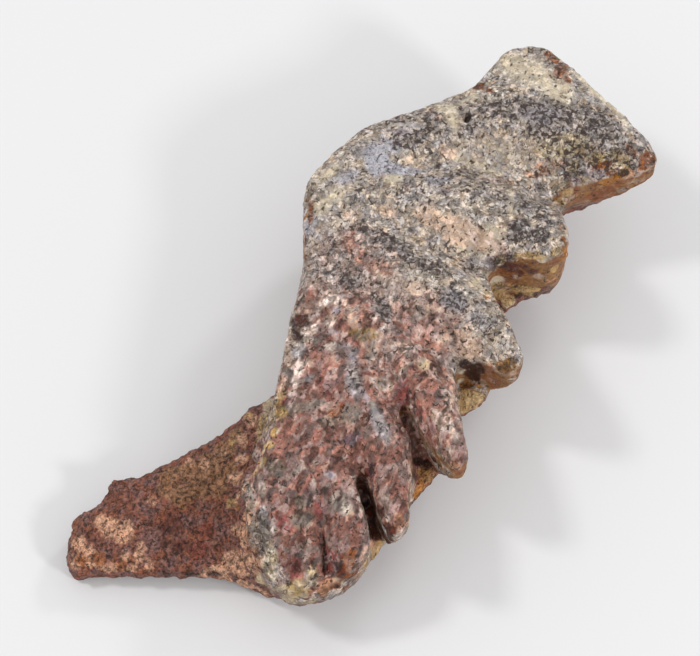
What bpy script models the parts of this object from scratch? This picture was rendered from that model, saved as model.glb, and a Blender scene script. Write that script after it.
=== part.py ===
"""Tooth plate of a fossil lungfish: a ridged crown grown onto a broken piece of jaw bone.

The lists below are in millimetres, in the plate's own frame, and MM turns them into metres. X runs
along the crown from its rounded heel to its pointed tip, Y from the ridged outer margin to the
smooth inner margin, and Z up from the surface that the plate lies on.
"""

import bmesh
import bpy
import numpy as np
from mathutils import Matrix, Vector

MM = 0.001
NAME = "tooth_plate"

# ---- sizes ---------------------------------------------------------------------------------------
CROWN_SPAN = (3.6, 7.0)    # bottom and top of the flat block that the crown is drawn out of
BONE_SPAN = (0.0, 4.8)     # the same for the bone under it
PROCESS_SPAN = (0.6, 3.0)  # the same for the bone process
BONE_TAPER = 0.45          # how much the supporting bone narrows by the time it meets the surface
BONE_FLARE = 1.4           # how late it narrows: 1 is evenly from its top down
BONE_RIM = 1.1             # how far its underside has risen by its edge
BONE_SMOOTHING = 40        # rounds of smoothing that round that bone's edges
GROOVE_RADIUS = 1.8        # of the groove under the ridges' tips
FACE_EDGE_PULL = 0.12      # how far the crown's edge height reaches in over its ridges
PROCESS_EDGE_PULL = 0.5    # the same for the bone process
NEARNESS_POWER = 3         # how much more a near line counts than a far one
NEARNESS_FLOOR = 0.05      # distance under which a line counts no more
SKIN_STEP = 0.18           # spacing of the skin that joins the three masses
SKIN_SMOOTHING = 3         # rounds of smoothing that soften the joins
SKIN_SHARE = 0.088         # share of the skin's faces that the finished solid keeps
REST_CUT = 0.2             # worn off the underside, so that the plate has a flat place to rest on
REST_SLAB = (60.0, 40.0, 10.0)  # slab that takes it off

# Outer edge of the crown: x, y, height of the chewing face there, height of the wall's foot.
CROWN_MARGIN = [
    (15.1, 1.2, 7.8, 4.6), (16.6, 0.9, 7.9, 4.8), (17.4, -0.1, 7.9, 5.0), (17.5, -1.4, 8.0, 5.2),
    (15.5, -6.2, 8.0, 5.8), (14.6, -8.4, 7.7, 6.2), (13.7, -8.9, 7.5, 6.2), (12.6, -8.1, 7.4, 5.8),
    (11.8, -6.9, 7.4, 4.8), (10.7, -5.6, 7.3, 4.2), (9.8, -4.9, 7.1, 3.8),
    (8.6, -6.0, 8.0, 4.4), (7.4, -6.9, 8.3, 4.6), (6.4, -7.1, 8.3, 4.4), (5.6, -6.4, 8.1, 4.0),
    (5.1, -5.1, 7.8, 3.6), (4.5, -4.0, 6.9, 3.6),
    (3.2, -4.8, 7.3, 3.8), (2.0, -6.0, 7.8, 4.8), (0.9, -7.2, 8.0, 5.8), (0.0, -7.9, 8.0, 6.2),
    (-0.8, -7.7, 7.7, 6.0), (-0.8, -6.5, 7.3, 4.6), (-1.0, -5.2, 6.8, 3.6),
    (-1.8, -5.2, 6.9, 3.6), (-3.0, -6.0, 7.2, 4.6), (-4.5, -7.0, 7.4, 5.6), (-5.6, -7.8, 7.4, 5.8),
    (-6.4, -7.5, 7.1, 5.6), (-5.7, -6.0, 6.8, 4.4), (-5.0, -5.0, 6.8, 3.8), (-4.5, -4.3, 6.8, 3.8),
    (-4.0, -3.3, 6.8, 3.8), (-4.8, -3.8, 6.7, 3.8), (-5.6, -4.7, 6.6, 3.6), (-6.9, -5.5, 6.7, 3.6),
    (-8.4, -6.1, 6.9, 4.4), (-9.7, -6.8, 7.0, 5.8), (-10.6, -6.6, 6.8, 5.6),
    (-10.1, -5.6, 6.5, 4.0), (-9.2, -4.7, 6.5, 3.8), (-8.5, -3.9, 6.6, 3.8), (-8.0, -3.0, 6.7, 3.8),
    (-8.8, -3.5, 6.6, 3.8), (-9.6, -4.2, 6.5, 3.6), (-10.4, -5.0, 6.2, 3.6),
    (-11.3, -5.5, 5.7, 3.4), (-12.3, -5.4, 5.2, 3.2), (-13.3, -4.9, 4.6, 3.0),
    (-14.1, -4.0, 4.1, 2.8), (-14.6, -3.0, 3.9, 2.8), (-14.5, -1.9, 4.0, 2.8),
    (-14.0, -1.0, 4.6, 2.8), (-13.2, -0.2, 5.3, 3.2), (-12.0, 0.6, 5.9, 3.6),
    (-10.5, 1.1, 6.3, 4.0), (-8.6, 1.4, 6.6, 4.4), (-7.0, 2.0, 6.7, 4.6), (-5.0, 2.6, 6.8, 4.6),
    (-2.4, 3.5, 6.9, 4.6), (-0.2, 4.1, 7.0, 4.6), (2.0, 5.2, 7.1, 4.6), (3.4, 6.0, 7.2, 4.6),
    (4.8, 6.4, 7.3, 4.6), (6.2, 6.2, 7.3, 4.6), (7.5, 5.9, 7.4, 4.6), (8.7, 5.5, 7.4, 4.6),
    (9.6, 4.9, 7.4, 4.6), (10.4, 4.1, 7.5, 4.6), (12.1, 2.7, 7.7, 4.6), (13.5, 1.6, 7.8, 4.6),
]

# Crests of the seven ridges, from the inner margin out to each tip: x, y, height.
CRESTS = [
    [(6.0, 5.0, 7.6), (7.4, 3.7, 7.9), (9.0, 2.2, 8.2), (10.9, 0.3, 8.4), (12.8, -2.2, 8.6),
     (13.9, -5.1, 8.5), (14.1, -7.4, 8.2)],
    [(4.4, 4.6, 7.6), (5.6, 2.7, 7.9), (6.2, 0.2, 8.2), (6.4, -2.4, 8.4), (6.9, -5.0, 8.5),
     (7.0, -6.2, 8.4)],
    [(2.4, 4.0, 7.5), (2.3, 1.6, 7.8), (1.8, -1.5, 8.1), (1.0, -4.3, 8.2), (0.5, -6.4, 8.2),
     (0.0, -7.4, 8.1)],
    [(-0.4, 3.0, 7.3), (-1.3, 0.5, 7.6), (-2.4, -2.3, 7.8), (-3.6, -4.7, 7.8), (-4.9, -6.5, 7.7),
     (-5.7, -7.3, 7.6)],
    [(-2.8, 2.2, 7.2), (-4.3, -0.3, 7.5), (-5.9, -2.5, 7.5), (-7.7, -4.5, 7.3), (-9.0, -6.0, 7.2),
     (-9.9, -6.4, 7.1)],
    [(-5.2, 1.4, 7.1), (-7.2, -0.5, 7.2), (-9.1, -2.3, 7.0), (-10.7, -3.8, 6.6),
     (-11.8, -4.8, 6.0)],
    [(-7.4, 0.8, 7.0), (-9.3, 0.1, 7.0), (-11.4, -0.9, 6.6), (-13.0, -2.3, 5.8),
     (-13.8, -3.1, 5.0)],
]

# Root of the crown, where its underside lies deepest inside the bone: x, y, height.
CROWN_ROOT = [[(-12.0, -2.6, 3.0), (-8.0, -1.0, 3.6), (0.0, 0.6, 3.6), (7.0, 1.8, 3.6),
               (11.0, 0.0, 3.8), (13.0, -2.4, 4.2)]]

# Furrows between neighbouring ridges, running out to the notches of the margin: how far each one
# draws the face down to either side, and its x, y, height.
FURROWS = [
    (0.50, [(7.2, 2.4, 7.8), (8.9, 0.4, 7.6), (10.1, -1.9, 7.3), (10.4, -4.0, 7.0),
            (10.0, -4.8, 6.8)]),
    (0.30, [(4.2, 1.7, 7.6), (4.1, -0.9, 7.4), (4.5, -3.0, 7.0), (4.5, -4.0, 6.7)]),
    (0.20, [(0.3, 0.5, 7.5), (-0.6, -2.2, 7.3), (-1.0, -4.3, 6.8), (-1.2, -5.1, 6.4)]),
    (0.20, [(-2.2, 0.1, 7.3), (-3.2, -1.8, 7.0), (-3.8, -2.9, 6.8)]),
    (0.20, [(-5.8, -0.3, 7.0), (-7.0, -1.7, 6.8), (-7.8, -2.7, 6.7)]),
    (0.15, [(-10.7, -2.2, 6.5), (-11.9, -3.4, 5.9), (-13.0, -4.5, 4.8)]),
]

# Bone under the crown, set back behind the ridges' tips: x, y.
BONE_MARGIN = [
    (14.2, 1.3), (16.1, 0.4), (16.8, -1.4), (15.2, -5.0), (14.2, -6.8), (12.8, -7.0), (11.2, -6.1),
    (9.8, -5.7), (8.2, -6.2), (6.8, -6.6), (5.5, -6.2), (4.4, -5.7), (2.6, -5.3), (0.9, -6.3),
    (-0.5, -6.8), (-1.4, -6.9), (-3.2, -5.6), (-4.8, -6.3), (-6.1, -6.6), (-6.9, -6.4),
    (-9.2, -5.9), (-11.0, -5.9), (-12.1, -5.2), (-13.2, -4.0), (-13.9, -2.8), (-13.6, -1.6),
    (-12.6, 0.1), (-10.5, 1.3), (-7.0, 2.2), (-2.5, 3.7), (1.8, 5.3), (3.3, 6.1), (4.9, 6.4),
    (7.5, 6.0), (8.9, 5.4), (10.3, 4.1), (12.2, 2.7),
]
# Keel of that bone, which its wall leans in towards: x, y.
BONE_KEEL = [(-11.0, -0.8), (-6.0, 0.2), (0.0, 1.0), (5.0, 1.8), (9.0, 1.2), (13.0, -0.6)]
# Top of that bone, inside the crown: x, y, height.
BONE_TOP = [[(-13.5, -2.4, 3.2), (-11.5, -1.4, 4.0), (-8.0, -0.2, 4.8), (5.0, 1.0, 4.8),
             (11.0, -1.0, 5.2), (13.6, -3.0, 6.0), (14.4, -6.0, 6.6)]]
# Underside of that bone: x, y, height. It rests on its middle and lifts towards the tip.
BONE_UNDERSIDE = [
    [(-13.5, -3.0, 0.4), (-11.0, -1.8, 0.0), (-6.0, -1.8, 0.0), (0.0, -1.8, 0.0),
     (6.0, -1.4, 0.0)],
    [(-6.0, 0.6, 0.0), (0.0, 1.4, 0.0), (5.0, 2.2, 0.0), (8.0, 1.2, 0.0)],
    [(12.0, -1.0, 0.2), (14.5, -3.5, 0.8), (15.0, -6.0, 1.4)],
]

# Groove along the outer side of that bone, under the ridges' tips: x, y, height of its axis.
BONE_GROOVE = [(16.5, -7.0, 3.4), (10.0, -6.6, 2.2), (4.0, -6.2, 1.8), (-3.0, -6.5, 1.8),
               (-8.5, -6.4, 1.8), (-15.0, -5.0, 1.4)]
# Hollows where the bone has broken away: centre and half sizes along x, y and z.
BONE_HOLLOWS = [
    ((5.5, 7.8, 1.2), (5.5, 2.8, 1.7)),
    ((16.8, -0.5, 0.4), (3.2, 4.5, 1.9)),
    ((-7.5, 4.2, 0.6), (3.5, 2.2, 1.3)),
    ((-1.5, -1.8, -0.3), (3.6, 1.0, 0.8)),
]

# Bone process, a broken blade that runs off the inner side of the heel: x, y, top, underside.
PROCESS_MARGIN = [
    (-3.6, 2.3, 4.0, 2.4), (-4.6, 2.7, 4.0, 1.9),
    (-6.2, 3.2, 3.9, 1.4), (-6.8, 3.8, 3.8, 1.3), (-7.2, 3.7, 3.7, 1.2),
    (-7.8, 4.1, 3.5, 1.2), (-8.9, 4.6, 3.2, 1.0), (-10.0, 5.5, 2.9, 0.9), (-11.2, 6.4, 2.6, 0.8),
    (-12.2, 7.1, 2.5, 0.7), (-12.6, 7.8, 2.7, 0.7), (-13.2, 8.1, 2.6, 0.6), (-13.6, 7.9, 2.2, 0.6),
    (-14.5, 8.4, 2.0, 0.5), (-15.2, 8.8, 2.0, 0.4), (-16.1, 8.4, 1.9, 0.4), (-17.2, 8.0, 1.8, 0.3),
    (-17.6, 7.3, 1.7, 0.3), (-17.0, 6.5, 1.7, 0.4), (-16.5, 5.3, 1.7, 0.6), (-15.7, 3.7, 1.8, 0.8),
    (-15.0, 2.3, 2.0, 0.9), (-14.4, 1.0, 2.3, 0.8), (-14.1, -0.5, 2.6, 0.7), (-14.0, -1.8, 2.8, 0.7),
    (-12.0, -3.0, 4.0, 0.4), (-8.0, -1.5, 4.4, 0.6), (-5.0, 0.0, 4.4, 1.2),
]
# The blade's face, a low rib along its inner edge and a hollow beside the rib: x, y, height.
PROCESS_FACE = [
    [(-15.6, 8.0, 2.2), (-12.8, 6.0, 2.8), (-9.8, 4.0, 3.5), (-7.0, 2.6, 4.3)],
    [(-16.0, 6.0, 1.8), (-14.2, 4.2, 2.1), (-12.8, 2.4, 2.6), (-11.6, 1.2, 3.6)],
]
# The arch under the blade: x, y, height.
PROCESS_ARCH = [[(-16.0, 7.2, 0.5), (-13.4, 4.4, 1.0), (-10.5, 2.4, 1.4), (-8.0, 1.0, 1.4)]]

SKIN_COLOUR = (0.30, 0.21, 0.17, 1.0)
SKIN_ROUGHNESS = 0.62


def clear_scene():
    for old in list(bpy.data.objects):
        bpy.data.objects.remove(old, do_unlink=True)


def new_collection(name):
    collection = bpy.data.collections.new(name)
    bpy.context.scene.collection.children.link(collection)
    return collection


def smooth_line(points, steps=4, closed=False):
    """A finer line through the points, bent evenly from one to the next (Catmull-Rom)."""
    points = np.array(points, float)
    if closed:
        ring = np.vstack([points[-1:], points, points[:2]])
    else:
        ring = np.vstack([2 * points[0] - points[1], points, 2 * points[-1] - points[-2]])
    line = []
    for a, b, c, d in zip(ring, ring[1:], ring[2:], ring[3:]):
        for t in np.arange(steps) / steps:
            line.append(0.5 * (2 * b + (c - a) * t + (2 * a - 5 * b + 4 * c - d) * t**2
                               + (3 * b - a - 3 * c + d) * t**3))
    if not closed:
        line.append(points[-1])
    return np.array(line)


def nearest_on_line(places, line, closed=False):
    """Distance from each place to the line, and the line's height at the nearest point."""
    if closed:
        line = np.vstack([line, line[:1]])
    distance = np.full(len(places), np.inf)
    height = np.zeros(len(places))
    for start, end in zip(line, line[1:]):
        run = end[:2] - start[:2]
        along = np.clip((places - start[:2]) @ run / max(run @ run, 1e-12), 0.0, 1.0)
        away = np.linalg.norm(places - start[:2] - along[:, None] * run, axis=1)
        nearer = away < distance
        distance[nearer] = away[nearer]
        height[nearer] = (start[2] + along * (end[2] - start[2]))[nearer]
    return distance, height


def surface_height(places, lines):
    """Height at each place, drawn from every line around it, the nearer ones most.

    Each line is (points, pull, closed): a small pull keeps its mark narrow."""
    total = np.zeros(len(places))
    weight = np.zeros(len(places))
    for points, pull, closed in lines:
        distance, height = nearest_on_line(places, points, closed)
        share = pull / (distance + NEARNESS_FLOOR) ** NEARNESS_POWER
        total += share * height
        weight += share
    return total / weight


def mesh_of_curve(name, curve, location):
    """A curve's mesh as an object, its caps welded on and its faces pointing out."""
    path = bpy.data.objects.new(name + "_path", curve)
    path.location = location
    bpy.context.scene.collection.objects.link(path)
    depsgraph = bpy.context.evaluated_depsgraph_get()
    mesh = bpy.data.meshes.new_from_object(path.evaluated_get(depsgraph))
    mesh.transform(path.matrix_world)
    bpy.data.objects.remove(path, do_unlink=True)
    shell = bmesh.new()
    shell.from_mesh(mesh)
    bmesh.ops.remove_doubles(shell, verts=shell.verts, dist=0.001 * MM)
    bmesh.ops.recalc_face_normals(shell, faces=shell.faces)
    shell.to_mesh(mesh)
    shell.free()
    block = bpy.data.objects.new(name, mesh)
    bpy.context.scene.collection.objects.link(block)
    return block


def outline_prism(name, outline, low, high):
    """A closed outline given a thickness, as a mesh object in metres."""
    curve = bpy.data.curves.new(name + "_outline", "CURVE")
    curve.dimensions = "2D"
    curve.fill_mode = "BOTH"
    curve.extrude = (high - low) / 2 * MM
    spline = curve.splines.new("POLY")
    spline.points.add(len(outline) - 1)
    for point, (x, y) in zip(spline.points, outline):
        point.co = (x * MM, y * MM, 0.0, 1.0)
    spline.use_cyclic_u = True
    return mesh_of_curve(name, curve, (0.0, 0.0, (low + high) / 2 * MM))


def freeze(block):
    """Replace an object's mesh by what its modifiers make of it."""
    depsgraph = bpy.context.evaluated_depsgraph_get()
    mesh = bpy.data.meshes.new_from_object(block.evaluated_get(depsgraph))
    block.modifiers.clear()
    block.data = mesh


def add_skin(block):
    skin = block.modifiers.new("skin", "REMESH")
    skin.mode = "VOXEL"
    skin.voxel_size = SKIN_STEP * MM


def soften(block, rounds):
    smoothing = block.modifiers.new("soften", "SMOOTH")
    smoothing.factor = 0.5
    smoothing.iterations = rounds


def read_points(block):
    flat = np.empty(len(block.data.vertices) * 3)
    block.data.vertices.foreach_get("co", flat)
    return flat.reshape(-1, 3) / MM


def write_points(block, points):
    block.data.vertices.foreach_set("co", (points * MM).ravel())
    block.data.update()


def even_lines(lines):
    """The lines made finer, all with the same pull."""
    return [(smooth_line(line), 1.0, False) for line in lines]


def shape_between(block, low, high, underside, face):
    """Move a flat block's two faces to the two sets of lines, and its wall evenly between them."""
    points = read_points(block)
    share = np.clip((points[:, 2] - low) / (high - low), 0.0, 1.0)
    bottom = surface_height(points[:, :2], underside)
    top = surface_height(points[:, :2], face)
    points[:, 2] = bottom + share * (top - bottom)
    write_points(block, points)


def crown():
    margin = smooth_line(CROWN_MARGIN, 3, closed=True)
    low, high = CROWN_SPAN
    block = outline_prism("crown", margin[:, :2], low, high)
    add_skin(block)
    freeze(block)
    face = [(margin[:, :3], FACE_EDGE_PULL, True)]
    face += even_lines(CRESTS)
    face += [(smooth_line(furrow), pull, False) for pull, furrow in FURROWS]
    underside = [(margin[:, [0, 1, 3]], 1.0, True)]
    underside += even_lines(CROWN_ROOT)
    shape_between(block, low, high, underside, face)
    return block


def as_cutter(cutter, collection):
    """Keep a shape that cuts among the cutters, out of the render."""
    for other in list(cutter.users_collection):
        other.objects.unlink(cutter)
    collection.objects.link(cutter)
    cutter.hide_render = True
    cutter.display_type = "WIRE"
    return cutter


def groove_cutter():
    """A bent rod that scoops the groove under the ridges' tips."""
    path = smooth_line(BONE_GROOVE) * MM
    curve = bpy.data.curves.new("groove_path", "CURVE")
    curve.dimensions = "3D"
    curve.bevel_depth = GROOVE_RADIUS * MM
    curve.use_fill_caps = True
    spline = curve.splines.new("POLY")
    spline.points.add(len(path) - 1)
    for point, place in zip(spline.points, path):
        point.co = (*place, 1.0)
    return mesh_of_curve("groove_cutter", curve, (0.0, 0.0, 0.0))


def hollow_cutter(centre, half_sizes):
    bpy.ops.mesh.primitive_uv_sphere_add(segments=32, ring_count=16, radius=MM)
    ball = bpy.context.object
    ball.name = "hollow_cutter"
    ball.data.transform(Matrix.LocRotScale(Vector(centre) * MM, None, Vector(half_sizes)))
    return ball


def cut(block, cutter):
    """Take the cutter's shape out of the block."""
    notch = block.modifiers.new(cutter.name, "BOOLEAN")
    notch.operation = "DIFFERENCE"
    notch.solver = "EXACT"
    notch.object = cutter
    freeze(block)


def towards_keel(places):
    """The way from each place to the nearest point of the bone's keel."""
    keel = smooth_line(BONE_KEEL)
    gaps = np.linalg.norm(places[:, None, :] - keel[None, :, :], axis=2)
    return keel[gaps.argmin(axis=1)] - places


def supporting_bone(cutters):
    """The bone under the crown, narrowing downwards, with its groove and hollows."""
    low, high = BONE_SPAN
    margin = smooth_line(BONE_MARGIN, 3, closed=True)
    block = outline_prism("supporting_bone", margin, low, high)
    add_skin(block)
    freeze(block)
    points = read_points(block)
    depth = np.clip((high - points[:, 2]) / (high - low), 0.0, 1.0)
    points[:, :2] += BONE_TAPER * (depth**BONE_FLARE)[:, None] * towards_keel(points[:, :2])
    write_points(block, points)
    rim = np.insert(margin + BONE_TAPER * towards_keel(margin), 2, BONE_RIM, axis=1)
    underside = even_lines(BONE_UNDERSIDE) + [(rim, 1.0, True)]
    shape_between(block, low, high, underside, even_lines(BONE_TOP))
    soften(block, BONE_SMOOTHING)
    freeze(block)
    for cutter in [groove_cutter()] + [hollow_cutter(*hollow) for hollow in BONE_HOLLOWS]:
        cut(block, as_cutter(cutter, cutters))
    return block


def bone_process():
    margin = smooth_line(PROCESS_MARGIN, 3, closed=True)
    low, high = PROCESS_SPAN
    block = outline_prism("bone_process", margin[:, :2], low, high)
    add_skin(block)
    freeze(block)
    face = [(margin[:, :3], PROCESS_EDGE_PULL, True)] + even_lines(PROCESS_FACE)
    arch = [(margin[:, [0, 1, 3]], PROCESS_EDGE_PULL, True)] + even_lines(PROCESS_ARCH)
    shape_between(block, low, high, arch, face)
    return block


def join(blocks, name):
    """One object that holds every block's mesh; the blocks themselves are removed."""
    merged = bmesh.new()
    for block in blocks:
        merged.from_mesh(block.data)
        bpy.data.objects.remove(block, do_unlink=True)
    mesh = bpy.data.meshes.new(name)
    merged.to_mesh(mesh)
    merged.free()
    return bpy.data.objects.new(name, mesh)


def rest_cutter():
    """A slab just under the plate, whose top takes a thin flat off the underside."""
    length, width, depth = REST_SLAB
    bpy.ops.mesh.primitive_cube_add(size=MM, location=(0.0, 0.0, (REST_CUT - depth / 2) * MM))
    slab = bpy.context.object
    slab.name = "rest_cutter"
    slab.data.transform(Matrix.Diagonal((length, width, depth, 1.0)))
    return slab


def finish_skin(plate):
    """Join the masses under one skin, soften the joins and thin the faces out."""
    add_skin(plate)
    soften(plate, SKIN_SMOOTHING)
    thin = plate.modifiers.new("thin", "DECIMATE")
    thin.ratio = SKIN_SHARE
    thin.use_collapse_triangulate = True
    freeze(plate)


def centre_on_floor(plate):
    """Put the middle of the plate's underside box on the origin."""
    points = read_points(plate)
    low, high = points.min(axis=0), points.max(axis=0)
    write_points(plate, points - ((low[0] + high[0]) / 2, (low[1] + high[1]) / 2, low[2]))


def fossil_material():
    material = bpy.data.materials.new("fossil_dentine_and_bone")
    material.use_nodes = True
    shader = material.node_tree.nodes["Principled BSDF"]
    shader.inputs["Base Color"].default_value = SKIN_COLOUR
    shader.inputs["Roughness"].default_value = SKIN_ROUGHNESS
    shader.inputs["Metallic"].default_value = 0.0
    material.diffuse_color = SKIN_COLOUR
    return material


def main():
    clear_scene()
    parts = new_collection("fossil_lungfish_tooth_plate")
    cutters = new_collection("cutters")
    plate = join([crown(), supporting_bone(cutters), bone_process()], NAME)
    parts.objects.link(plate)
    finish_skin(plate)
    cut(plate, as_cutter(rest_cutter(), cutters))
    centre_on_floor(plate)
    plate.data.materials.clear()
    plate.data.materials.append(fossil_material())


main()
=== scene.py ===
"""Fossil lungfish tooth plate: its dentine and bone, a plain stage and a camera.

The lists are in millimetres in the plate's own frame: X from the rounded heel to the pointed tip,
Y from the ridged outer margin to the smooth inner margin, Z up from what the plate lies on.
"""

import math
from functools import partial

import bpy
import numpy as np
from mathutils import Matrix, Vector, noise


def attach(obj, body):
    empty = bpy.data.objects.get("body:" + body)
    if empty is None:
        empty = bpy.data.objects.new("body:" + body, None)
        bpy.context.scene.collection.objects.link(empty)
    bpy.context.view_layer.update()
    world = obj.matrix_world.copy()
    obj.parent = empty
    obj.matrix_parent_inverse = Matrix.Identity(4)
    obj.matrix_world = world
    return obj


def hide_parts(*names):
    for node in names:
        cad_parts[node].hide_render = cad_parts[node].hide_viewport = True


bl_info = {
    "name": "Fossil Lungfish Tooth Plate",
    "version": (1, 0, 0),
    "blender": (4, 5, 0),
    "location": "3D View > Sidebar > Fossil",
    "description": "Gives a fossil tooth plate its pitted dentine and porous bone",
    "category": "Add Mesh",
}

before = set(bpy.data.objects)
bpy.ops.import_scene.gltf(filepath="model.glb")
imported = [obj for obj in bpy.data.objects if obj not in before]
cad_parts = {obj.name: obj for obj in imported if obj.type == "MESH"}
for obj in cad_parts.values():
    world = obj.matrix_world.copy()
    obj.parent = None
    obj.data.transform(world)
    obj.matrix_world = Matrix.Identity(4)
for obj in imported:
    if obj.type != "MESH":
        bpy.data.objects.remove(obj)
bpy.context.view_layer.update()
MM = 0.001
LIGHT_SIZE = 0.035
LIGHT_DISTANCE = 0.25

# Below this height in millimetres nothing is carved, and above the next one there is no bone
# beside the crown.
UPPER_FACE = 3.0
BONE_TOP = 5.0
# Height at which the crown meets the bone: x, z.
CROWN_FOOT = [(-14, 2.9), (-8, 3.6), (0, 4), (8, 4.4), (15, 5.2)]

# Outline of the crown seen from above: inside it the surface is dentine, outside it is bone.
CROWN_OUTLINE = [
    (15.1, 1.2), (17, 0.6), (17.5, -1.2), (15.5, -6.2), (14.4, -8.7), (13.2, -8.7), (10.7, -5.6),
    (9.8, -5), (8, -6.6), (6.2, -7), (5.1, -5.1), (4.5, -4.1), (2, -6), (0.4, -7.8),
    (-0.8, -7.6), (-1.2, -5.2), (-3, -6), (-5.6, -7.8), (-6.3, -7.2), (-4.6, -4.5),
    (-8.4, -6.1), (-10.2, -6.9), (-10, -5.6), (-9.4, -4.4), (-11.3, -5.5), (-13.3, -4.9),
    (-14.5, -3.4), (-14.5, -1.8), (-13.2, -0.1), (-10.5, 1.2), (-7, 2.1), (-2.4, 3.6),
    (2, 5.3), (3.6, 6.1), (6.2, 6.2), (8.7, 5.5), (10.4, 4.2), (12.6, 2.2),
]

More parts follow.
